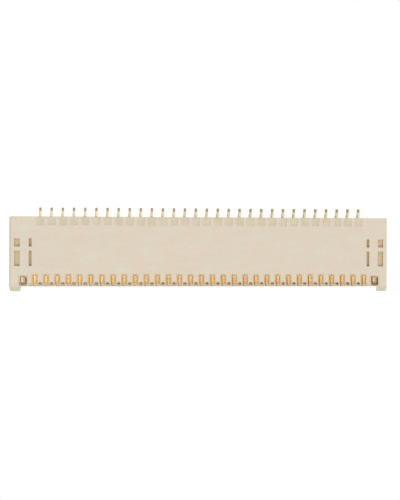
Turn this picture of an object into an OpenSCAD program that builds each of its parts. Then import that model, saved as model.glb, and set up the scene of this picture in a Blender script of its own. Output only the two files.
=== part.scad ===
// Right-angle flat-cable (FPC) connector with a flip lever at the back.
// Two staggered rows of H-shaped stamped contacts stand in a moulded housing:
// the front row is soldered under the cable mouth, the rear row by tails behind.
// Millimetres. The board plane is z = 0, the cable enters towards +Y, the lever
// hinges along X near the back and swings up.

/* [Body] */
// Number of contacts, both rows together
contacts = 61; // [21:4:61]
// Spacing from one contact to the next, which is twice as much within a row
pitch = 0.30; // [0.30:0.01:0.40]
// From the centre of the last contact to the end of the body
end_margin = 1.30; // [1.25:0.01:1.60]
// Front lip to rear face
body_depth = 3.74; // [3.70:0.01:4.10]
// Board plane to top face
body_height = 1.00; // [0.97:0.01:1.20]
// Gap between the board and the underside of the housing
standoff = 0.03; // [0.02:0.01:0.05]
// Thickness of the wall under the contacts
bottom_wall = 0.17; // [0.14:0.01:0.20]
// Thickness of the wall that stops the cable and holds the contacts' webs
stop_wall = 0.26; // [0.25:0.01:0.32]
// Thickness of the low comb across the back
rear_wall = 0.145; // [0.10:0.005:0.20]
// Chamfer on the outer edges of the moulding
edge_chamfer = 0.04; // [0.02:0.01:0.06]

/* [Cable mouth] */
// Opening height of the cable slot
slot_height = 0.26; // [0.24:0.01:0.30]
// Length of the sloped lead-in at the mouth
lead_in = 0.16; // [0.08:0.01:0.22]
// How far the lead-in opens the slot upwards
lead_rise = 0.10; // [0.04:0.01:0.11]
// Reach of the two guide arms beyond the lip
arm_reach = 0.25; // [0.15:0.01:0.35]
// Width of a guide arm
arm_width = 0.58; // [0.52:0.01:0.66]
// Height of the guide arms' top above the board
arm_top = 0.62; // [0.50:0.01:0.80]
// Taper on the inner side of an arm's tip
arm_taper = 0.06; // [0.02:0.01:0.10]
// How much narrower an arm is at its top, where its inner side slopes back
arm_draft = 0.16; // [0.00:0.01:0.20]

/* [Contacts] */
// Thickness of the contact strip
strip = 0.11; // [0.10:0.01:0.14]
// Play between a contact and each wall of its groove
groove_gap = 0.01; // [0.005:0.005:0.02]
// Height of a beam of the contact
beam = 0.13; // [0.11:0.01:0.15]
// Width of the web that joins the lower and upper beams
web = 0.24; // [0.18:0.01:0.25]
// Distance from the lip to the front row's contact points
front_point = 1.20; // [1.10:0.01:1.25]
// Distance from the lip to the rear row's contact points
rear_point = 0.65; // [0.60:0.01:0.80]
// How far the lower contact points stand above their beam
low_bump = 0.05; // [0.02:0.01:0.06]
// How far the upper contact points hang below their beam
high_bump = 0.07; // [0.03:0.01:0.08]
// Length of a front solder foot along the board
foot_length = 0.57; // [0.45:0.01:0.70]
// Play between a front foot and the end of its notch
foot_gap = 0.06; // [0.03:0.01:0.10]
// Width of the notch around a front foot
notch_width = 0.28; // [0.20:0.01:0.30]
// Reach of the rear tails beyond the rear face
tail_reach = 0.47; // [0.35:0.01:0.60]
// Height of a tail at its tip
tail_height = 0.15; // [0.10:0.01:0.20]
// Chamfer on the ends of feet and tails
tip_chamfer = 0.03; // [0.01:0.005:0.05]

/* [Lever] */
// Lever hinge axis to its free edge
lever_reach = 1.36; // [1.20:0.01:1.42]
// Free edge to the rear face of the body
lever_inset = 0.045; // [0.02:0.005:0.10]
// Thickness of the lever's plate
lever_plate = 0.38; // [0.25:0.01:0.40]
// Closed lever's top face below the top of the body
lever_sink = 0.02; // [0.00:0.01:0.05]
// Opening angle where the lever rests against the stop wall
open_angle = 95; // [90:1:100]
// Half of the cam's long side, which is upright when closed
cam_long = 0.17; // [0.14:0.01:0.18]
// Half of the cam's short side
cam_short = 0.10; // [0.08:0.01:0.11]
// Gap between the cam and the beams
cam_gap = 0.03; // [0.02:0.005:0.04]
// Radius of the lever's end journals
journal_radius = 0.15; // [0.12:0.01:0.16]
// Play of a journal in its seat, and of the lever in the body
running_gap = 0.03; // [0.02:0.005:0.05]
// Gap beside a contact in the lever's window
window_gap = 0.03; // [0.02:0.005:0.04]
// Hinge axis to the far end of the windows
window_reach = 0.44; // [0.42:0.01:0.50]

/* [Hold-downs] */
// Thickness of the hold-down plates
nail_strip = 0.20; // [0.15:0.01:0.22]
// Distance from the end of the body to the middle of a hold-down
nail_inset = 0.68; // [0.66:0.01:0.70]
// Length of a hold-down's solder foot
nail_foot = 0.41; // [0.30:0.01:0.43]
// Width of the open pocket around the foot
pocket_width = 0.40; // [0.36:0.01:0.42]
// Length of that pocket
pocket_length = 0.475; // [0.46:0.005:0.55]
// Wall between that pocket and the side of the cable slot
pocket_wall = 0.05; // [0.04:0.01:0.12]
// How far the underside stops short of the lip there
pocket_step = 0.08; // [0.05:0.01:0.10]

/* [Underside] */
// Width of the outer relief slots
outer_slot_width = 0.30; // [0.20:0.01:0.32]
// Distance from the end of the body to the outer slots
outer_slot_inset = 0.20; // [0.16:0.01:0.22]
// Width of the inner relief slots
inner_slot_width = 0.15; // [0.10:0.01:0.18]
// Distance from the end of the body to the inner slots
inner_slot_inset = 0.98; // [0.94:0.01:1.00]
// Rear face to the short slots
short_slot_start = 1.17; // [1.10:0.01:1.20]
// Length of the short slots
short_slot_length = 0.44; // [0.35:0.01:0.48]
// Bridge between a short slot and a long one
slot_bridge = 0.22; // [0.15:0.01:0.30]
// Length of the long slots
long_slot_length = 0.82; // [0.60:0.01:0.85]
// Depth of the relief slots
relief_depth = 0.22; // [0.12:0.01:0.24]
// Width of the shallow recess under each rear tail
tail_relief_width = 0.40; // [0.30:0.01:0.44]
// Length of that recess
tail_relief_length = 0.45; // [0.30:0.01:0.60]
// Depth of that recess
tail_relief_depth = 0.03; // [0.01:0.005:0.04]
// Width of the small holes in front of the rear row's beams
peep_width = 0.16; // [0.12:0.01:0.18]
// Length of those holes
peep_length = 0.11; // [0.08:0.01:0.14]
// Width of the lip in front of them
lip = 0.09; // [0.06:0.01:0.12]

/* [Colours] */
// Housing
housing_colour = "#dcd1bd";
// Contacts
contact_colour = "#d8b26a";
// Lever
lever_colour = "#2b2724";
// Hold-downs
nail_colour = "#c9c2b4";

/* [Hidden] */
// Which sub-part is drawn

front_row = (contacts + 1) / 2;
rear_row = (contacts - 1) / 2;
rear_pairs = rear_row / 2;

end_x = (contacts - 1) * pitch / 2 + end_margin;
lip_y = (arm_reach - body_depth - tail_reach) / 2;
rear_y = lip_y + body_depth;

// Distance from the end of the body to the side wall of the cable slot
slot_side = nail_inset + pocket_width / 2 + pocket_wall;
groove_width = strip + 2 * groove_gap;
floor_z = standoff + bottom_wall;
beam_top = floor_z + beam;
slot_floor = beam_top + groove_gap;
slot_ceiling = slot_floor + slot_height;
axis_y = rear_y - lever_inset - lever_reach;
axis_z = beam_top + cam_gap + cam_long;
hook_under = axis_z + cam_long + cam_gap;
hook_top = min(hook_under + beam, body_height - 0.10);
groove_top = hook_top + 2 * groove_gap;

lever_top = body_height - lever_sink - axis_z;
lever_under = lever_top - lever_plate;
// The open lever's face meets the top corner of the stop wall at this y
stop_y = axis_y + (cos(open_angle) * (body_height - axis_z) - lever_top - groove_gap * 2) / sin(open_angle);
stop_front = stop_y - stop_wall;
web_rear = stop_y - groove_gap;
web_front = web_rear - web;
hook_inner = axis_y + cam_long + cam_gap;
hook_outer = hook_inner + beam * 0.65;

notch_length = foot_length + foot_gap;
upper_beam = slot_ceiling + 0.03;
lever_end = end_x - slot_side - running_gap;
seat_outer = end_x - nail_inset + nail_strip / 2 + 0.22;
rear_wall_top = axis_z + lever_under - running_gap;
lever_bay_floor = slot_floor;
front_beam_end = axis_y + 0.80;

function two(i) = i < 10 ? str("0", i) : str(i);
function front_name(i) = str("front_contact_", two(i));
function rear_name(i) = str("rear_contacts_", two(2 * i - 1), "_", two(2 * i));
function front_x(i) = (i - 1) * 2 * pitch - (front_row - 1) * pitch;
function rear_x(i) = front_x(i) + pitch;

// A (y, z) outline drawn out along X, centred on x
module across(x, width, outline) {
    translate([x - width / 2, 0, 0])
        rotate([90, 0, 90])
            linear_extrude(width)
                polygon(outline);
}

module box(x0, x1, y0, y1, z0, z1) {
    translate([x0, y0, z0])
        cube([x1 - x0, y1 - y0, z1 - z0]);
}

// The fork that both rows share: from the web's rear foot, round the hook and
// along the upper beam with its contact point, back to the lower beam's top
function fork(point_y) = [
    [web_rear, beam_top],
    [web_rear, hook_under],
    [hook_inner, hook_under],
    [hook_inner, hook_under - 0.07],
    [hook_inner + 0.03, hook_under - 0.09],
    [hook_outer, hook_under - 0.05],
    [hook_outer, hook_top - 0.05],
    [hook_outer - 0.05, hook_top],
    [web_front + 0.06, hook_top],
    [web_front - 0.04, upper_beam + beam],
    [point_y - 0.10, upper_beam + 0.08],
    [point_y - 0.10, upper_beam - high_bump + 0.03],
    [point_y - 0.05, upper_beam - high_bump],
    [point_y + 0.03, upper_beam - high_bump],
    [point_y + 0.12, upper_beam],
    [web_front, upper_beam],
    [web_front, beam_top],
    [point_y + 0.12, beam_top],
    [point_y + 0.04, beam_top + low_bump],
    [point_y - 0.04, beam_top + low_bump],
    [point_y - 0.12, beam_top]
];

nose_y = lip_y + groove_gap;
foot_end = lip_y + foot_length;
front_outline = concat(
    [
        [nose_y, 0.06],
        [nose_y + 0.06, 0],
        [foot_end, 0],
        [foot_end, floor_z],
        [front_beam_end - tip_chamfer, floor_z],
        [front_beam_end, floor_z + tip_chamfer],
        [front_beam_end, beam_top - tip_chamfer],
        [front_beam_end - tip_chamfer, beam_top]
    ],
    fork(lip_y + front_point),
    [
        [nose_y + 0.14, beam_top],
        [nose_y, beam_top - 0.06]
    ]
);

tail_y = rear_y + tail_reach;
tail_root = rear_y + tip_chamfer;
rear_nose = lip_y + lip + peep_length * 0.2;
rear_outline = concat(
    [
        [rear_nose, beam_top - tip_chamfer],
        [rear_nose, floor_z + tip_chamfer],
        [rear_nose + tip_chamfer, floor_z],
        [tail_root, floor_z],
        [tail_root, 0],
        [tail_y - tip_chamfer, 0],
        [tail_y, tip_chamfer],
        [tail_y, tail_height],
        [tail_root + 0.20, tail_height + 0.02],
        [tail_root + 0.12, beam_top - 0.03],
        [tail_root + 0.09, beam_top]
    ],
    fork(lip_y + rear_point),
    [[rear_nose + 0.06, beam_top]]
);

// Front row: solder foot under the mouth, no tail
module front_contact(i) {
    color(contact_colour)
        across(front_x(i), strip, front_outline);
}

// Rear row: tail behind the body, short nose under the mouth
module rear_contact(i) {
    color(contact_colour)
        across(rear_x(i), strip, rear_outline);
}

// Closed lever, relative to its axis, between the windows
lever_outline = [
    [-cam_short / 2, -cam_long],
    [cam_short / 2, -cam_long],
    [cam_short, -cam_long + cam_short / 2],
    [window_reach, -0.02],
    [window_reach, lever_under],
    [lever_reach - 0.14, lever_under],
    [lever_reach, lever_under + 0.14],
    [lever_reach, lever_top - edge_chamfer],
    [lever_reach - edge_chamfer, lever_top],
    [cam_short + 0.14, lever_top],
    [cam_short + 0.02, cam_long],
    [-cam_short / 2, cam_long],
    [-cam_short, cam_long - cam_short / 2],
    [-cam_short, -cam_long + cam_short / 2]
];

// A window lets a contact's hook through and leaves the cam under it
window_outline = [
    [cam_short, -1],
    [cam_short, cam_long - cam_short / 2],
    [cam_short / 2, cam_long],
    [cam_short / 2, 1],
    [window_reach, 1],
    [window_reach, -1]
];

module flip_lever() {
    color(lever_colour)
        translate([0, axis_y, axis_z]) {
            difference() {
                across(0, 2 * lever_end, lever_outline);
                for (i = [1:front_row])
                    across(front_x(i), strip + 2 * window_gap, window_outline);
                for (i = [1:rear_row])
                    across(rear_x(i), strip + 2 * window_gap, window_outline);
            }
            for (side = [-1, 1])
                translate([side * (lever_end + seat_outer - running_gap - 0.02) / 2, 0, 0])
                    rotate([0, 90, 0])
                        cylinder(h = seat_outer - running_gap - lever_end + 0.02, r = journal_radius, center = true, $fn = 64);
        }
}

// Hold-down: foot on the board, plate up through the end block, hook over the journal
nail_front = lip_y + pocket_step + 0.02;
nail_outline = [
    [nail_front, 0],
    [nail_front + nail_foot, 0],
    [nail_front + nail_foot, floor_z],
    [axis_y + 0.36, floor_z],
    [axis_y + 0.36, beam_top],
    [web_rear, beam_top],
    [web_rear, hook_under],
    [hook_inner + 0.02, hook_under],
    [hook_inner + 0.02, hook_under - 0.06],
    [hook_outer + 0.04, hook_under - 0.06],
    [hook_outer + 0.04, hook_top - 0.05],
    [hook_outer - 0.01, hook_top],
    [web_front - 0.22, hook_top],
    [web_front - 0.28, hook_top - 0.06],
    [web_front - 0.28, slot_ceiling],
    [web_front, slot_ceiling],
    [web_front, beam_top],
    [nail_front + 0.10, beam_top],
    [nail_front, beam_top - 0.10]
];

module hold_down(side) {
    color(nail_colour)
        across(side * (end_x - nail_inset), nail_strip, nail_outline);
}

// The solid moulding before any cut: three outlines crossed, so that every
// outer edge has its chamfer, with the two guide arms in front
module moulding() {
    c = edge_chamfer;
    intersection() {
        across(0, 2 * end_x, [
            [lip_y, standoff],
            [rear_y, standoff],
            [rear_y, body_height - c],
            [rear_y - c, body_height],
            [lip_y + c, body_height],
            [lip_y, body_height - c]
        ]);
        linear_extrude(body_height)
            polygon([
                [-end_x, lip_y],
                [end_x, lip_y],
                [end_x, rear_y - c],
                [end_x - c, rear_y],
                [-end_x + c, rear_y],
                [-end_x, rear_y - c]
            ]);
        translate([0, rear_y, 0])
            rotate([90, 0, 0])
                linear_extrude(body_depth)
                    polygon([
                        [-end_x, standoff],
                        [end_x, standoff],
                        [end_x, body_height - c],
                        [end_x - c, body_height],
                        [-end_x + c, body_height],
                        [-end_x, body_height - c]
                    ]);
    }
    for (side = [-1, 1])
        intersection() {
            translate([side * end_x, lip_y, standoff])
                linear_extrude(arm_top - standoff)
                    polygon([
                        [0, 0.05],
                        [0, -arm_reach * 0.25],
                        [-side * c, -arm_reach],
                        [-side * (arm_width - arm_taper), -arm_reach],
                        [-side * arm_width, -arm_reach * 0.2],
                        [-side * arm_width, 0.05]
                    ]);
            translate([side * end_x, rear_y, standoff])
                rotate([90, 0, 0])
                    linear_extrude(body_depth + 1)
                        polygon([
                            [0, 0],
                            [0, arm_top],
                            [-side * (arm_width - arm_draft), arm_top],
                            [-side * (arm_width - arm_draft), arm_top - standoff],
                            [-side * arm_width, 0]
                        ]);
        }
}

// Cable slot with its sloped mouth
module cable_slot() {
    across(0, 2 * (end_x - slot_side), [
        [lip_y - 1, slot_floor - 0.06],
        [lip_y, slot_floor - 0.06],
        [lip_y + lead_in, slot_floor],
        [stop_front, slot_floor],
        [stop_front, slot_ceiling],
        [lip_y + lead_in, slot_ceiling],
        [lip_y, slot_ceiling + lead_rise],
        [lip_y - 1, slot_ceiling + lead_rise]
    ]);
}

// Open bay for the lever, with the low comb left standing across the back
module lever_bay() {
    across(0, 2 * (end_x - slot_side), [
        [stop_y, body_height + 1],
        [stop_y, lever_bay_floor],
        [rear_y - rear_wall, lever_bay_floor],
        [rear_y - rear_wall, rear_wall_top],
        [rear_y + 1, rear_wall_top],
        [rear_y + 1, body_height + 1]
    ]);
}

module front_cut(x) {
    box(x - groove_width / 2, x + groove_width / 2, lip_y - 1, front_beam_end + 0.05, floor_z, groove_top);
    translate([x, lip_y, standoff - 1])
        linear_extrude(bottom_wall + 1)
            polygon([
                [-notch_width / 2, -1],
                [notch_width / 2, -1],
                [notch_width / 2, notch_length - 0.07],
                [notch_width / 4, notch_length],
                [-notch_width / 4, notch_length],
                [-notch_width / 2, notch_length - 0.07]
            ]);
}

module rear_cut(x) {
    box(x - groove_width / 2, x + groove_width / 2, rear_nose - groove_gap, rear_y + 1, floor_z, groove_top);
    box(x - peep_width / 2, x + peep_width / 2, lip_y + lip, lip_y + lip + peep_length, standoff - 1, slot_floor + 0.05);
    box(x - tail_relief_width / 2, x + tail_relief_width / 2, rear_y - tail_relief_length, rear_y + 1, standoff - 1, standoff + tail_relief_depth);
}

// One end block: hold-down slot and foot pocket, journal seat, relief slots
module end_cut(side) {
    mirror([side < 0 ? 1 : 0, 0, 0]) {
        nail_x = end_x - nail_inset;
        half = nail_strip / 2 + 2 * groove_gap;
        box(nail_x - half, nail_x + half, lip_y - 1, axis_y + 0.40, floor_z, groove_top);
        box(nail_x - pocket_width / 2, nail_x + pocket_width / 2, lip_y + pocket_step, lip_y + pocket_step + pocket_length, standoff - 1, slot_floor);
        translate([end_x, lip_y, standoff - 1])
            linear_extrude(slot_floor - standoff + 1)
                polygon([
                    [-slot_side - 0.05, -1],
                    [-slot_side - 0.05, 0],
                    [-slot_side, 0.05],
                    [-slot_side, pocket_step],
                    [-arm_width, pocket_step],
                    [-arm_width, -1]
                ]);
        translate([end_x - slot_side - 0.05, axis_y, axis_z]) {
            rotate([0, 90, 0])
                cylinder(h = seat_outer - end_x + slot_side + 0.05, r = journal_radius + running_gap, $fn = 64);
            translate([0, -journal_radius - running_gap, 0])
                cube([seat_outer - end_x + slot_side + 0.05, 2 * (journal_radius + running_gap), 2]);
        }
        for (slot = [
            [end_x - outer_slot_inset - outer_slot_width / 2, outer_slot_width],
            [end_x - inner_slot_inset - inner_slot_width / 2, inner_slot_width]
        ]) {
            short_end = rear_y - short_slot_start;
            long_end = short_end - short_slot_length - slot_bridge;
            box(slot[0] - slot[1] / 2, slot[0] + slot[1] / 2, short_end - short_slot_length, short_end, standoff - 1, standoff + relief_depth);
            box(slot[0] - slot[1] / 2, slot[0] + slot[1] / 2, long_end - long_slot_length, long_end, standoff - 1, standoff + relief_depth);
        }
    }
}

module housing() {
    color(housing_colour)
        difference() {
            moulding();
            cable_slot();
            lever_bay();
            for (i = [1:front_row])
                front_cut(front_x(i));
            for (i = [1:rear_row])
                rear_cut(rear_x(i));
            // the lip stands a little higher than the rest of the underside
            box(-end_x + slot_side, end_x - slot_side, lip_y - 1, lip_y + lip, standoff - 1, standoff + tail_relief_depth);
            for (side = [-1, 1])
                end_cut(side);
        }
}

// The moulding is one piece. It is given as the five blocks that stand round
// the cable slot and meet on flat faces: floor and roof of the slot, the back
// with the stop wall and the lever's bay, and the two ends. The faces stand
// this far out in the slot, clear of its walls.
seam = 0.01;
seam_x = end_x - slot_side - seam;
seam_y = stop_front - seam;
seam_z = (slot_floor + slot_ceiling) / 2;

module housing_block(x0, x1, y0, y1, z0, z1) {
    intersection() {
        housing();
        box(x0, x1, y0, y1, z0, z1);
    }
}

housing_block(-seam_x, seam_x, lip_y - 1, seam_y, 0, seam_z);  // housing_floor
housing_block(-seam_x, seam_x, lip_y - 1, seam_y, seam_z, 2);  // housing_roof
housing_block(-seam_x, seam_x, seam_y, rear_y + 1, 0, 2);  // housing_back
housing_block(-end_x - 1, -seam_x, lip_y - 1, rear_y + 1, 0, 2);  // housing_left_end
housing_block(seam_x, end_x + 1, lip_y - 1, rear_y + 1, 0, 2);  // housing_right_end
flip_lever();
hold_down(-1);  // left_hold_down
hold_down(1);  // right_hold_down
for (i = [1:front_row])
    front_contact(i);
for (i = [1:rear_pairs])
    union() {
        rear_contact(2 * i - 1);
        rear_contact(2 * i);
    }
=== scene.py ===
import math

import bmesh
import bpy
from mathutils import Matrix, Vector


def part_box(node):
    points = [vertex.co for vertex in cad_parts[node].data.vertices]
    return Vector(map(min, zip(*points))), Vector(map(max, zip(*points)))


bl_info = {
    "name": "Flat Cable Connector Finishes",
    "version": (1, 0, 0),
    "blender": (4, 5, 0),
    "location": "3D View > Sidebar > Connector",
    "description": "Finishes, floor, lights and camera for a flat cable connector",
    "category": "Object",
}

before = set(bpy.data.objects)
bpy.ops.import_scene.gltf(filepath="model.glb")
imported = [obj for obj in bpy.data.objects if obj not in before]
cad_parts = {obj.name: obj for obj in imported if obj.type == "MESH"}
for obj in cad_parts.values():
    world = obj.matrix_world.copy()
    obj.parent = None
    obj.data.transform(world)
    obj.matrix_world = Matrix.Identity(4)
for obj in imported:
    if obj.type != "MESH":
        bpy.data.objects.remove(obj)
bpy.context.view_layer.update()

MM = 0.001
STREAK_DEPTH = 0.003 * MM  # of the fine streaks that rolling leaves in metal strip
FADE_START = 100.0  # millimetres from the middle, where the floor starts to fade to white


def corners(name):
    """The lowest and highest corner of a CAD node at rest, in millimetres."""
    return [tuple(value / MM for value in corner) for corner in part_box(name)]


LIP, UNDERSIDE = corners("housing_floor")[0][1:]
FLOOR_END = corners("housing_floor")[1][0]
REAR = corners("housing_back")[1][1]
END = corners("housing_right_end")[1][0]
PITCH = (corners("front_contact_02")[0][0] - corners("front_contact_01")[0][0]) / 2
TAIL_TIP = corners("rear_contacts_01_02")[1][1]
LAST_TAIL = corners("rear_contacts_29_30")[1][0]
NOSE = corners("rear_contacts_01_02")[0][1]
NAIL_FRONT = corners("right_hold_down")[0][1]
NAIL_MIDDLE = sum(corner[0] for corner in corners("right_hold_down")) / 2

# Forms of the housing that the tints follow, in millimetres.
RECESS_HALF, RECESS_LENGTH = 0.2, 0.45
NOTCH_HALF, NOTCH_LENGTH = 0.14, 0.63
HOLE_START, HOLE_LENGTH = 0.09, 0.11
POCKET_HALF, POCKET_LENGTH = 0.2, 0.455
RELIEF_DEPTH = 0.22


def linear(code):
    """A colour written as #rrggbb, as the linear values that a shader takes."""
    parts = [int(code[i:i + 2], 16) / 255 for i in (1, 3, 5)]
    return tuple(c / 12.92 if c <= 0.04045 else ((c + 0.055) / 1.055) ** 2.4 for c in parts)


# ---------------------------------------------------------------- finishes


class Wire:
    """A socket of a finish. Sums and products written on it add Math nodes."""

    def __init__(self, finish, socket):
        self.finish = finish
        self.socket = socket

    def maths(self, operation, *values):
        return self.finish.node("ShaderNodeMath", {"operation": operation}, dict(enumerate(values)))

    def __add__(self, other):
        return self.maths("ADD", self, other)

    __radd__ = __add__

    def __sub__(self, other):
        return self.maths("SUBTRACT", self, other)

    def __rsub__(self, other):
        return self.maths("SUBTRACT", other, self)

    def __mul__(self, other):
        return self.maths("MULTIPLY", self, other)

    __rmul__ = __mul__

    def __abs__(self):
        return self.maths("ABSOLUTE", self)

    def folded(self, step):
        """Distance to the nearest even multiple of step."""
        return self.maths("PINGPONG", self, step)

    def either(self, other):
        """The stronger of two masks."""
        return self.maths("MAXIMUM", self, other)

    def out(self, name):
        """Another output of the same node."""
        return Wire(self.finish, self.socket.node.outputs[name])


class Finish:
    """A procedural material, and the nodes that make it up. Its places are in millimetres."""

    def __init__(self, name):
        self.material = bpy.data.materials.new(name)
        self.material.use_nodes = True
        self.tree = self.material.node_tree
        self.tree.nodes.clear()
        self.place = self.node(
            "ShaderNodeVectorMath",
            {"operation": "SCALE"},
            {0: self.node("ShaderNodeTexCoord", {}, {}).out("Object"), "Scale": 1 / MM},
        )
        split = self.node("ShaderNodeSeparateXYZ", {}, {"Vector": self.place})
        self.x, self.y, self.z = (split.out(letter) for letter in "XYZ")

    def node(self, kind, settings, sockets):
        """Adds a node, sets it up, fills or links its sockets, and gives its first output."""
        made = self.tree.nodes.new(kind)
        for name, value in settings.items():
            setattr(made, name, value)
        for name, value in sockets.items():
            if isinstance(value, Wire):
                self.tree.links.new(value.socket, made.inputs[name])
            else:
                made.inputs[name].default_value = value
        enabled = [s for s in made.outputs if s.enabled]
        return Wire(self, enabled[0]) if enabled else None

    def stretched(self, x, y, z):
        """The object's coordinates times so many cells a millimetre along each axis."""
        return self.node("ShaderNodeVectorMath", {"operation": "MULTIPLY"}, {0: self.place, 1: (x, y, z)})

    def noise(self, where, detail=2.0, rough=0.5):
        """Soft noise from 0 to 1, one cell to a unit of where."""
        return self.node(
            "ShaderNodeTexNoise",
            {"noise_dimensions": "3D"},
            {"Vector": where, "Scale": 1.0, "Detail": detail, "Roughness": rough},
        )

    def ramp(self, value, low, high, first=0.0, last=1.0):
        """Goes smoothly from first to last as value goes from low to high."""
        return self.node(
            "ShaderNodeMapRange",
            {"interpolation_type": "SMOOTHSTEP"},
            {"Value": value, "From Min": low, "From Max": high, "To Min": first, "To Max": last},
        )

    def beyond(self, value, edge, soft):
        """1 from the edge on, with the soft part before it."""
        return self.ramp(value, edge - soft, edge)

    def within(self, value, edge, soft):
        """1 up to the edge, with the soft part after it."""
        return self.ramp(value, edge, edge + soft, 1.0, 0.0)

    def band(self, value, low, high, soft):
        """1 where value lies from low to high, with edges so soft outside."""
        return self.beyond(value, low, soft) * self.within(value, high, soft)

    def blend(self, factor, first, second, way="MIX"):
        """Mixes two colours, each a Wire or three linear values."""
        made = self.tree.nodes.new("ShaderNodeMix")
        made.data_type = "RGBA"
        made.blend_type = way
        for index, value in ((0, factor), (6, first), (7, second)):
            if isinstance(value, Wire):
                self.tree.links.new(value.socket, made.inputs[index])
            elif index:
                made.inputs[index].default_value = (*value, 1.0)
            else:
                made.inputs[index].default_value = value
        return Wire(self, made.outputs[2])

    def shaded(self, colour, value):
        """A colour times a value that varies."""
        grey = self.node("ShaderNodeCombineColor", {}, {"Red": value, "Green": value, "Blue": value})
        return self.blend(1.0, colour, grey, "MULTIPLY")

    def bump(self, height, depth):
        """A normal from a height between 0 and 1 that stands for depth metres."""
        return self.node("ShaderNodeBump", {}, {"Height": height, "Distance": depth, "Strength": 1.0})

    def surface(self, **sockets):
        """The finished surface, with its Principled sockets given by name."""
        named = {name.replace("_", " "): value for name, value in sockets.items()}
        shader = self.node("ShaderNodeBsdfPrincipled", {}, named)
        self.node("ShaderNodeOutputMaterial", {}, {"Surface": shader})
        return self.material


def dress(finish, names):
    """Puts a material on CAD nodes, in every material slot that they have."""
    for name in names:
        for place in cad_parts[name].material_slots:
            place.material = finish


def named(start):
    """The CAD nodes whose names begin so, in order."""
    return sorted(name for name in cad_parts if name.startswith(start))


# ---------------------------------------------------------------- settings


def colour_setting(name, code, description):
    """A colour that the panel shows, with its default written as #rrggbb."""
    return bpy.props.FloatVectorProperty(
        name=name,
        description=description,
        subtype="COLOR",
        min=0.0,
        max=1.0,
        default=linear(code),
    )


def share_setting(name, value, description):
    """A share from 0 to 1 that the panel shows."""
    return bpy.props.FloatProperty(
        name=name, description=description, subtype="FACTOR", min=0.0, max=1.0, default=value
    )


def length_setting(name, value, description):
    """A length in metres that the panel shows."""
    return bpy.props.FloatProperty(
        name=name, description=description, subtype="DISTANCE", unit="LENGTH", min=0.0, default=value
    )


def power_setting(name, value, description):
    """The power of a light, which the panel shows."""
    return bpy.props.FloatProperty(
        name=name, description=description, subtype="POWER", unit="POWER", min=0.0, default=value
    )


class HousingSettings(bpy.types.PropertyGroup):
    """The cream moulding."""

    colour: colour_setting("Plastic", "#ddd3c1", "Colour of the moulded plastic")
    warm_colour: colour_setting("Warm patches", "#dfd0bb", "Colour of the warmer patches in the plastic")
    # painted shade: darker colour of the guide arms beyond the lip
    arm_shade_colour: colour_setting("Guide arms", "#d5c7b0", "Colour of the guide arms beyond the lip")
    # painted shade in the shallow recess under each tail
    recess_shade_colour: colour_setting(
        "Tail recess", "#d3c7ac", "Colour of the shallow recess under each tail"
    )
    # painted shade on the thin lip, round the notches and round the hold-down pockets, for the contacts seen
    # through thin plastic
    lip_shade_colour: colour_setting(
        "Lip", "#cdb48f", "Colour of the thin lip under the mouth, where the contacts show through"
    )
    # painted shade beside the small holes under the noses of the rear contacts
    hole_shade_colour: colour_setting(
        "Nose holes", "#b08b63", "Colour beside the small holes under the noses of the rear contacts"
    )
    # painted reflection: pale gold light bounced into the notches round the front feet
    notch_light_colour: colour_setting("Notches", "#fdeabe", "Colour of the notches round the front feet")
    # painted light on the lit side and end of the pockets round the hold-down feet
    pocket_light_colour: colour_setting(
        "Pockets", "#fbe9cf", "Colour of the pale side of the pockets round the hold-down feet"
    )
    # painted shade at the bottom of the relief slots
    outer_slot_shade: colour_setting(
        "Outer slots", "#dccbaa", "Colour at the bottom of the outer relief slots"
    )
    inner_slot_shade: colour_setting(
        "Inner slots", "#dcc4a4", "Colour at the bottom of the inner relief slots"
    )
    # painted glow: emission that stands in for light through thin walls
    glow_colour: colour_setting(
        "Glow colour", "#ffdcb0", "Colour of the light that comes through thin walls"
    )
    grain_depth: length_setting("Grain depth", 0.004 * MM, "Depth of the fine moulded grain")
    glow: share_setting("Glow", 0.25, "How much light comes through the thin walls round the feet")
    roughness: share_setting("Roughness", 0.55, "Roughness of the plastic")


class ContactSettings(bpy.types.PropertyGroup):
    """The gold contacts."""

    colour: colour_setting("Gold", "#eccb8a", "Colour of the thin gold plating")
    warm_colour: colour_setting(
        "Warm gold", "#f2c48c", "Colour of the gold where the plating is thicker"
    )
    # painted shade on the noses of the contacts
    painted_shade_colour: colour_setting(
        "Dull gold", "#cbad80", "Colour of the worn plating at the noses of the contacts"
    )
    # pale gold of the tails, also painted as highlights under the tip and at the heel of each front foot
    pale_gold_and_highlight: colour_setting("Pale gold", "#ead6ac", "Colour of the thin plating on the tails")
    bare_colour: colour_setting(
        "Bare metal", "#b09a7a", "Colour of the bare bronze where a contact was cut from its strip"
    )
    foot_length: length_setting("Foot length", 0.57 * MM, "Length of a front solder foot")
    bare_length: length_setting("Bare length", 0.17 * MM, "Length of the bare end of a tail")
    roughness: share_setting("Roughness", 0.34, "Roughness of the plating")


class HoldDownSettings(bpy.types.PropertyGroup):
    """The tinned hold-downs."""

    colour: colour_setting("Tin", "#d6c5b0", "Colour of the tin plating")
    # painted shade on one side of each hold-down foot
    painted_shade_colour: colour_setting("Dull tin", "#c4a687", "Colour of the duller side of a foot")
    # darker brown towards the front end of a hold-down foot
    bare_colour: colour_setting(
        "Bare metal", "#94785a", "Colour of the bare metal near the cut end of a foot"
    )
    roughness: share_setting("Roughness", 0.42, "Roughness of the plating")


class LeverSettings(bpy.types.PropertyGroup):
    """The dark lever."""

    colour: colour_setting("Plastic", "#2b2724", "Colour of the dark plastic")
    fibre_colour: colour_setting(
        "Fibres", "#4a443d", "Colour of the glass fibres that show at the surface"
    )
    roughness: share_setting("Roughness", 0.48, "Roughness of the plastic")


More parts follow.
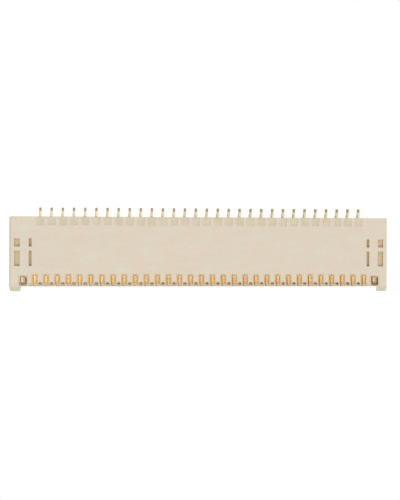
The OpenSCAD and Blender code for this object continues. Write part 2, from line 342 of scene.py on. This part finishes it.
class StageSettings(bpy.types.PropertyGroup):
    """Floor, light and camera."""

    floor_colour: colour_setting("Floor", "#efeeec", "Colour of the floor")
    floor_radius: length_setting("Floor radius", 0.6, "Radius of the round floor")
    ambient: bpy.props.FloatProperty(
        name="Ambient",
        description="Strength of the even white light all round",
        min=0.0,
        default=0.56,
    )
    key_power: power_setting("Key light", 0.24, "Power of the soft light on the solder side")
    fill_power: power_setting("Fill light", 0.10, "Power of the softer light opposite it")
    top_power: power_setting("Top light", 0.35, "Power of the soft light above the lever")
    camera_distance: length_setting(
        "Camera distance", 100 * MM, "Distance from the camera to the point it looks at"
    )
    camera_aim: bpy.props.FloatVectorProperty(
        name="Camera aim",
        description="Point on the board plane that the camera looks at",
        subtype="TRANSLATION",
        unit="LENGTH",
        default=(0.085 * MM, -0.013 * MM, 0.0),
    )
    camera_turn: bpy.props.FloatProperty(
        name="Camera turn",
        description="Turn of the camera to one side of straight below",
        subtype="ANGLE",
        unit="ROTATION",
        default=math.radians(8.862),
    )
    camera_roll: bpy.props.FloatProperty(
        name="Camera roll",
        description="Roll of the camera about its line of sight",
        subtype="ANGLE",
        unit="ROTATION",
        default=math.radians(-0.153),
    )
    camera_lens: bpy.props.FloatProperty(
        name="Camera lens",
        description="Focal length of the camera",
        subtype="DISTANCE_CAMERA",
        default=133.18,
    )


# ---------------------------------------------------------------- operators


class CONNECTOR_OT_housing(bpy.types.Operator):
    """Give the housing its cream moulded plastic"""

    bl_idname = "connector.housing"
    bl_label = "Housing"
    bl_options = {"REGISTER", "UNDO"}

    def execute(self, context):
        wanted = context.scene.connector_housing
        finish = Finish("cream_plastic")
        grain = finish.noise(finish.stretched(16.0, 16.0, 16.0), 3.0, 0.6)
        colour = self.plastic(finish, wanted, grain)
        colour = self.tail_recesses(finish, wanted, colour)
        colour, notches = self.mouth_edge(finish, wanted, colour)
        colour, pale = self.pockets(finish, wanted, colour)
        # painted glow: the pale pocket walls and the lit side of the notches feed the emission
        pale = (0.5 * pale).either(0.2 * notches)
        colour = self.relief_slots(finish, wanted, colour)
        dress(finish.surface(
            Base_Color=colour,
            Roughness=finish.ramp(grain, 0.3, 0.7, wanted.roughness - 0.06, wanted.roughness + 0.08),
            IOR=1.5,
            Specular_IOR_Level=0.4,
            # painted glow on the thin walls round the feet
            Emission_Color=finish.blend(pale, (0.0, 0.0, 0.0), tuple(wanted.glow_colour)),
            Emission_Strength=wanted.glow,
            Normal=finish.bump(grain, wanted.grain_depth),
        ), named("housing_"))
        return {"FINISHED"}

    def plastic(self, finish, wanted, grain):
        """The plain plastic, with warm patches, flow lines and grain, and painted shade on the guide arms."""
        patches = finish.noise(finish.stretched(0.8, 1.1, 1.1), 4.0, 0.6)
        flow = finish.noise(finish.stretched(0.5, 5.0, 5.0), 2.0)
        colour = finish.blend(
            finish.ramp(patches, 0.35, 0.65), tuple(wanted.colour), tuple(wanted.warm_colour)
        )
        # painted shade on the guide arms beyond the lip
        arms = finish.within(finish.y, LIP - 0.04, 0.05)
        colour = finish.blend(arms, colour, tuple(wanted.arm_shade_colour))
        return finish.shaded(
            colour, finish.ramp(flow, 0.3, 0.7, 0.985, 1.01) * finish.ramp(grain, 0.3, 0.7, 0.97, 1.02)
        )

    def tail_recesses(self, finish, wanted, colour):
        """Painted shade in the shallow recess under each tail."""
        to_rear = PITCH - finish.x.folded(PITCH)
        cloudy = finish.ramp(finish.noise(finish.stretched(1.3, 1.3, 1.3), 2.0), 0.35, 0.6, 0.45, 1.0)
        # painted shade: mask of the shallow recess under each tail
        mask = finish.beyond(finish.y, REAR - RECESS_LENGTH + 0.07, 0.12)
        mask = mask * finish.within(to_rear, RECESS_HALF - 0.07, 0.12)
        mask = mask * finish.within(finish.z, UNDERSIDE + 0.06, 0.04)
        mask = mask * finish.within(abs(finish.x), LAST_TAIL + 0.18, 0.02)
        return finish.blend(mask * cloudy, colour, tuple(wanted.recess_shade_colour))

    def mouth_edge(self, finish, wanted, colour):
        """Painted shade on the thin walls round the front feet and along the lip stands in for the metal
        showing through.

        Gives the colour and the mask of the painted lit side of the notches.
        """
        x, y, z = finish.x, finish.y, finish.z
        row = finish.within(abs(x), FLOOR_END - 0.15, 0.1)
        under = finish.within(z, UNDERSIDE + 0.05, 0.05)
        to_front = x.folded(PITCH)
        # painted shade along the lip and round the notches
        lip = finish.within(y, LIP + 0.15, 0.08) * under
        rim_shade = finish.within(to_front, NOTCH_HALF + 0.01, 0.04) * under
        rim_shade = rim_shade * finish.within(y, LIP + NOTCH_LENGTH - 0.01, 0.1)
        colour = finish.blend(0.8 * row * lip.either(rim_shade), colour, tuple(wanted.lip_shade_colour))

        # painted shade: brown beside the small holes, where the noses of the rear contacts lie in shadow
        hole_front = LIP + HOLE_START + 0.03
        hole_shade = finish.band(y, hole_front, hole_front + HOLE_LENGTH - 0.005, 0.03)
        hole_shade = hole_shade * finish.within(PITCH - to_front, 0.06, 0.04)
        hole_shade = hole_shade * finish.within(abs(x), LAST_TAIL + 0.08, 0.02)
        colour = finish.blend(0.9 * hole_shade * under, colour, tuple(wanted.hole_shade_colour))

        # painted reflection: the bottom of the notches takes the pale colour of light bounced from the gold
        # beside it
        inside = finish.band(z, UNDERSIDE + 0.01, UNDERSIDE + 0.2, 0.01)
        notch_light = finish.within(to_front, NOTCH_HALF + 0.002, 0.006) * inside
        notch_light = notch_light * finish.band(y, LIP + 0.01, LIP + NOTCH_LENGTH + 0.03, 0.008)
        lit = finish.within((x - 0.05).folded(PITCH), 0.1, 0.01)
        lit = lit.either(finish.ramp(y, LIP + 0.55, LIP + 0.57))
        return finish.blend(row * notch_light, colour, tuple(wanted.notch_light_colour)), row * notch_light * lit

    def pockets(self, finish, wanted, colour):
        """Painted shade round each hold-down pocket and on its walls, with painted light on one side and at
        its end.

        Gives the colour and the mask of the walls with painted light.
        """
        x, y, z = finish.x, finish.y, finish.z
        along = finish.band(y, NAIL_FRONT - 0.1, NAIL_FRONT + 0.5, 0.02)
        to_nail = abs(abs(x) - NAIL_MIDDLE)
        near = finish.within(to_nail, POCKET_HALF + 0.04, 0.08)
        walls = finish.within(to_nail, POCKET_HALF + 0.003, 0.005)
        walls = walls * finish.band(y, NAIL_FRONT - 0.01, NAIL_FRONT + POCKET_LENGTH + 0.015, 0.008)
        inside = walls * finish.band(z, UNDERSIDE + 0.01, UNDERSIDE + 0.4, 0.01)
        under = finish.within(z, UNDERSIDE + 0.05, 0.05)
        # painted shade on the underside round each hold-down pocket
        colour = finish.blend(0.45 * along * near * under, colour, tuple(wanted.lip_shade_colour))
        # painted light on one side of each pocket and at its end
        pale = finish.band(x, NAIL_MIDDLE, END, 0.04)
        pale = pale.either(finish.band(x, -NAIL_MIDDLE, 0.4 - NAIL_MIDDLE, 0.04))
        pale = pale.either(finish.band(y, NAIL_FRONT + 0.38, REAR, 0.02))
        pocket = finish.blend(pale, tuple(wanted.lip_shade_colour), tuple(wanted.pocket_light_colour))
        return finish.blend(inside, colour, pocket), inside * pale

    def relief_slots(self, finish, wanted, colour):
        """Painted shade makes the relief slots darker and warmer at the bottom."""
        out = abs(finish.x)
        ends = finish.band(out, FLOOR_END - 0.2, END - 0.1, 0.05)
        inside = finish.ramp(finish.z, UNDERSIDE + 0.02, UNDERSIDE + RELIEF_DEPTH - 0.05)
        inside = inside * finish.within(finish.z, UNDERSIDE + RELIEF_DEPTH + 0.05, 0.04)
        behind = finish.band(finish.y, NAIL_FRONT + 0.6, REAR - 1.1, 0.05)
        wide = finish.ramp(out, END - 0.6, END - 0.5)
        slots = finish.blend(wide, tuple(wanted.inner_slot_shade), tuple(wanted.outer_slot_shade))
        return finish.blend(ends * inside * behind, colour, slots)


class CONNECTOR_OT_contacts(bpy.types.Operator):
    """Give both rows of contacts their gold plating and bare cut tails"""

    bl_idname = "connector.contacts"
    bl_label = "Contacts"
    bl_options = {"REGISTER", "UNDO"}

    def execute(self, context):
        wanted = context.scene.connector_contacts
        for row in ("front_contact", "rear_contacts"):
            finish = Finish(row + "_gold")
            streaks = finish.noise(finish.stretched(2.0, 22.0, 22.0), 2.0)
            patches = finish.noise(finish.stretched(1.7, 3.0, 3.0), 2.0)
            tints = finish.noise(finish.stretched(0.9, 0.5, 0.5), 2.0)
            colour = finish.blend(
                finish.ramp(tints, 0.4, 0.6), tuple(wanted.colour), tuple(wanted.warm_colour)
            )
            colour = finish.shaded(
                colour, finish.ramp(patches, 0.3, 0.7, 0.9, 1.04) * finish.ramp(streaks, 0.3, 0.7, 0.94, 1.03)
            )
            rough = finish.ramp(streaks, 0.3, 0.7, wanted.roughness - 0.06, wanted.roughness + 0.12)
            ends = self.feet if row == "front_contact" else self.tails
            # for a front foot the second mask is that of the painted shade at its nose, used here only for
            # roughness
            colour, bare = ends(finish, wanted, colour, patches)
            dress(finish.surface(
                Base_Color=colour,
                Metallic=1.0,
                Roughness=rough + bare * 0.15,
                Normal=finish.bump(streaks, STREAK_DEPTH),
            ), named(row))
        return {"FINISHED"}

    def feet(self, finish, wanted, colour, patches):
        """A front foot has painted shade at its nose, and painted highlights under its tip and at its heel.
        """
        heel = LIP + wanted.foot_length / MM
        # painted shade at the nose of the foot
        dull = finish.within(finish.y + patches * 0.05, LIP + 0.2, 0.12)
        colour = finish.blend(dull, colour, tuple(wanted.painted_shade_colour))
        tip = finish.within(finish.y, LIP + 0.08, 0.04) * finish.within(finish.z, 0.02, 0.02)
        # painted highlights under the tip and at the heel
        pale = finish.ramp(finish.y, heel - 0.14, heel).either(tip)
        return finish.blend(0.8 * pale, colour, tuple(wanted.pale_gold_and_highlight)), dull

    def tails(self, finish, wanted, colour, patches):
        """A rear contact has painted shade at its nose. Its tail is pale, and bare where it was cut off."""
        # painted shade at the nose, which lies in shadow behind its hole
        nose = finish.within(finish.y, NOSE + 0.12, 0.03)
        colour = finish.blend(nose, colour, tuple(wanted.painted_shade_colour))
        start = TAIL_TIP - wanted.bare_length / MM
        tail = finish.ramp(finish.y, REAR - 0.03, REAR)
        colour = finish.blend(tail, colour, tuple(wanted.pale_gold_and_highlight))
        bare = finish.ramp(finish.y + patches * 0.05, start, start + 0.03)
        return finish.blend(bare, colour, tuple(wanted.bare_colour)), bare


class CONNECTOR_OT_hold_downs(bpy.types.Operator):
    """Give the two hold-downs their dull tin plating, with painted shade on one side of each foot"""

    bl_idname = "connector.hold_downs"
    bl_label = "Hold-downs"
    bl_options = {"REGISTER", "UNDO"}

    def execute(self, context):
        wanted = context.scene.connector_hold_downs
        for name, middle in (("left_hold_down", -NAIL_MIDDLE), ("right_hold_down", NAIL_MIDDLE)):
            finish = Finish(name + "_tin")
            streaks = finish.noise(finish.stretched(3.0, 18.0, 18.0), 3.0)
            clouds = finish.noise(finish.stretched(4.0, 4.0, 4.0), 3.0, 0.6)
            colour = finish.shaded(tuple(wanted.colour), finish.ramp(clouds, 0.3, 0.7, 0.9, 1.04))
            # painted shade on one side of each foot
            dull = finish.ramp(finish.x + clouds * 0.04, middle, middle + 0.07, 1.0, 0.0)
            colour = finish.blend(dull, colour, tuple(wanted.painted_shade_colour))
            # darker brown towards the front end of the foot
            bare = finish.within(finish.y, NAIL_FRONT + 0.1, 0.04)
            colour = finish.blend(bare, colour, tuple(wanted.bare_colour))
            dress(finish.surface(
                Base_Color=colour,
                Metallic=1.0,
                Roughness=finish.ramp(clouds, 0.3, 0.7, wanted.roughness + 0.1, wanted.roughness - 0.06),
                Normal=finish.bump(streaks, STREAK_DEPTH),
            ), [name])
        return {"FINISHED"}


class CONNECTOR_OT_lever(bpy.types.Operator):
    """Give the lever its dark glass-filled plastic"""

    bl_idname = "connector.lever"
    bl_label = "Lever"
    bl_options = {"REGISTER", "UNDO"}

    def execute(self, context):
        wanted = context.scene.connector_lever
        finish = Finish("dark_plastic")
        fibres = finish.noise(finish.stretched(3.0, 26.0, 26.0), 2.0)
        grain = finish.noise(finish.stretched(14.0, 14.0, 14.0), 3.0, 0.6)
        colour = finish.blend(
            finish.ramp(fibres, 0.56, 0.78), tuple(wanted.colour), tuple(wanted.fibre_colour)
        )
        dress(finish.surface(
            Base_Color=colour,
            Roughness=finish.ramp(grain, 0.3, 0.7, wanted.roughness - 0.08, wanted.roughness + 0.08),
            Normal=finish.bump(grain, 0.004 * MM),
        ), ["flip_lever"])
        return {"FINISHED"}


class CONNECTOR_OT_stage(bpy.types.Operator):
    """Lay the pale floor, hang the soft lights and place the camera"""

    bl_idname = "connector.stage"
    bl_label = "Stage"
    bl_options = {"REGISTER", "UNDO"}

    def execute(self, context):
        wanted = context.scene.connector_stage
        self.floor(context, wanted)
        self.world(context, wanted)
        self.soft_light(context, "key_light", (60 * MM, -90 * MM, -220 * MM), 0.16, wanted.key_power)
        self.soft_light(context, "fill_light", (-120 * MM, 80 * MM, -160 * MM), 0.2, wanted.fill_power)
        self.soft_light(context, "top_light", (-90 * MM, -110 * MM, 220 * MM), 0.16, wanted.top_power)
        self.camera(context, wanted)
        context.scene.view_settings.view_transform = "Standard"
        return {"FINISHED"}

    def floor(self, context, wanted):
        """A round floor that shows from above only, so the solder side is seen from below."""
        mesh = bpy.data.meshes.new("floor")
        made = bmesh.new()
        bmesh.ops.create_circle(made, cap_ends=True, radius=wanted.floor_radius, segments=96)
        made.normal_update()
        for face in made.faces:
            if face.normal.z < 0:
                face.normal_flip()
        made.to_mesh(mesh)
        made.free()
        floor = bpy.data.objects.new("floor", mesh)
        floor.location = (0.0, 0.0, -0.02 * MM)
        context.scene.collection.objects.link(floor)
        finish = Finish("pale_floor")
        grain = finish.noise(finish.stretched(0.4, 0.4, 0.4), 3.0)
        duller = tuple(c * 0.985 for c in wanted.floor_colour)
        pale = finish.node("ShaderNodeBsdfDiffuse", {}, {
            "Color": finish.blend(grain, tuple(wanted.floor_colour), duller),
            "Normal": finish.bump(grain, 0.01 * MM),
        })
        white = finish.node("ShaderNodeEmission", {}, {"Color": (1.0, 1.0, 1.0, 1.0)})
        away = finish.node("ShaderNodeVectorMath", {"operation": "LENGTH"}, {0: finish.place}).out("Value")
        faded = finish.node("ShaderNodeMixShader", {}, {
            0: finish.ramp(away, FADE_START, 0.9 * wanted.floor_radius / MM), 1: pale, 2: white
        })
        clear = finish.node("ShaderNodeBsdfTransparent", {}, {})
        back = finish.node("ShaderNodeNewGeometry", {}, {}).out("Backfacing")
        one_sided = finish.node("ShaderNodeMixShader", {}, {0: back, 1: faded, 2: clear})
        finish.node("ShaderNodeOutputMaterial", {}, {"Surface": one_sided})
        mesh.materials.append(finish.material)
        floor.visible_shadow = False
        floor.visible_diffuse = False
        floor.visible_glossy = False
        floor.visible_transmission = False

    def world(self, context, wanted):
        """White all round, a little weaker as a light than it looks."""
        world = bpy.data.worlds.new("studio")
        world.use_nodes = True
        tree = world.node_tree
        tree.nodes.clear()
        seen = tree.nodes.new("ShaderNodeBackground")
        light = tree.nodes.new("ShaderNodeBackground")
        path = tree.nodes.new("ShaderNodeLightPath")
        mix = tree.nodes.new("ShaderNodeMixShader")
        end = tree.nodes.new("ShaderNodeOutputWorld")
        seen.inputs["Color"].default_value = (1.0, 1.0, 1.0, 1.0)
        light.inputs["Color"].default_value = (1.0, 1.0, 1.0, 1.0)
        light.inputs["Strength"].default_value = wanted.ambient
        tree.links.new(path.outputs["Is Camera Ray"], mix.inputs[0])
        tree.links.new(light.outputs[0], mix.inputs[1])
        tree.links.new(seen.outputs[0], mix.inputs[2])
        tree.links.new(mix.outputs[0], end.inputs["Surface"])
        context.scene.world = world

    def soft_light(self, context, name, place, size, power):
        """A square soft light that faces the middle of the connector."""
        light = bpy.data.lights.new(name, "AREA")
        light.shape = "SQUARE"
        light.size = size
        light.energy = power
        lamp = bpy.data.objects.new(name, light)
        lamp.location = place
        lamp.rotation_euler = (-Vector(place)).to_track_quat("-Z", "Y").to_euler()
        context.scene.collection.objects.link(lamp)

    def camera(self, context, wanted):
        """A long lens below the board plane, turned a little to one side."""
        turn, roll = wanted.camera_turn, wanted.camera_roll
        back = Vector((math.sin(turn), 0.0, -math.cos(turn)))
        right = Vector((-math.cos(turn), 0.0, -math.sin(turn)))
        up = Vector((0.0, 1.0, 0.0))
        tilted_right = math.cos(roll) * right - math.sin(roll) * up
        tilted_up = math.sin(roll) * right + math.cos(roll) * up
        lens = bpy.data.cameras.new("camera")
        lens.lens = wanted.camera_lens
        lens.sensor_width = 36.0
        lens.sensor_fit = "AUTO"
        lens.clip_start = 1 * MM
        lens.clip_end = 2.0
        camera = bpy.data.objects.new("camera", lens)
        place = Matrix((tilted_right, tilted_up, back)).transposed().to_4x4()
        place.translation = Vector(wanted.camera_aim) + back * wanted.camera_distance
        camera.matrix_world = place
        context.scene.collection.objects.link(camera)
        context.scene.camera = camera


class CONNECTOR_PT_finishes(bpy.types.Panel):
    """The connector's settings and the operators that use them"""

    bl_idname = "CONNECTOR_PT_finishes"
    bl_label = "Connector"
    bl_space_type = "VIEW_3D"
    bl_region_type = "UI"
    bl_category = "Connector"

    def draw(self, context):
        for name, kind, operator in STEPS:
            box = self.layout.box()
            group = getattr(context.scene, name)
            for setting in kind.__annotations__:
                box.prop(group, setting)
            box.operator(operator.bl_idname)


STEPS = (
    ("connector_housing", HousingSettings, CONNECTOR_OT_housing),
    ("connector_contacts", ContactSettings, CONNECTOR_OT_contacts),
    ("connector_hold_downs", HoldDownSettings, CONNECTOR_OT_hold_downs),
    ("connector_lever", LeverSettings, CONNECTOR_OT_lever),
    ("connector_stage", StageSettings, CONNECTOR_OT_stage),
)


def register():
    for name, kind, operator in STEPS:
        bpy.utils.register_class(kind)
        bpy.utils.register_class(operator)
        setattr(bpy.types.Scene, name, bpy.props.PointerProperty(type=kind))
    bpy.utils.register_class(CONNECTOR_PT_finishes)


def unregister():
    bpy.utils.unregister_class(CONNECTOR_PT_finishes)
    for name, kind, operator in reversed(STEPS):
        delattr(bpy.types.Scene, name)
        bpy.utils.unregister_class(operator)
        bpy.utils.unregister_class(kind)


def main():
    register()
    bpy.ops.connector.housing()
    bpy.ops.connector.contacts()
    bpy.ops.connector.hold_downs()
    bpy.ops.connector.lever()
    bpy.ops.connector.stage()


if __name__ == "__main__":
    main()
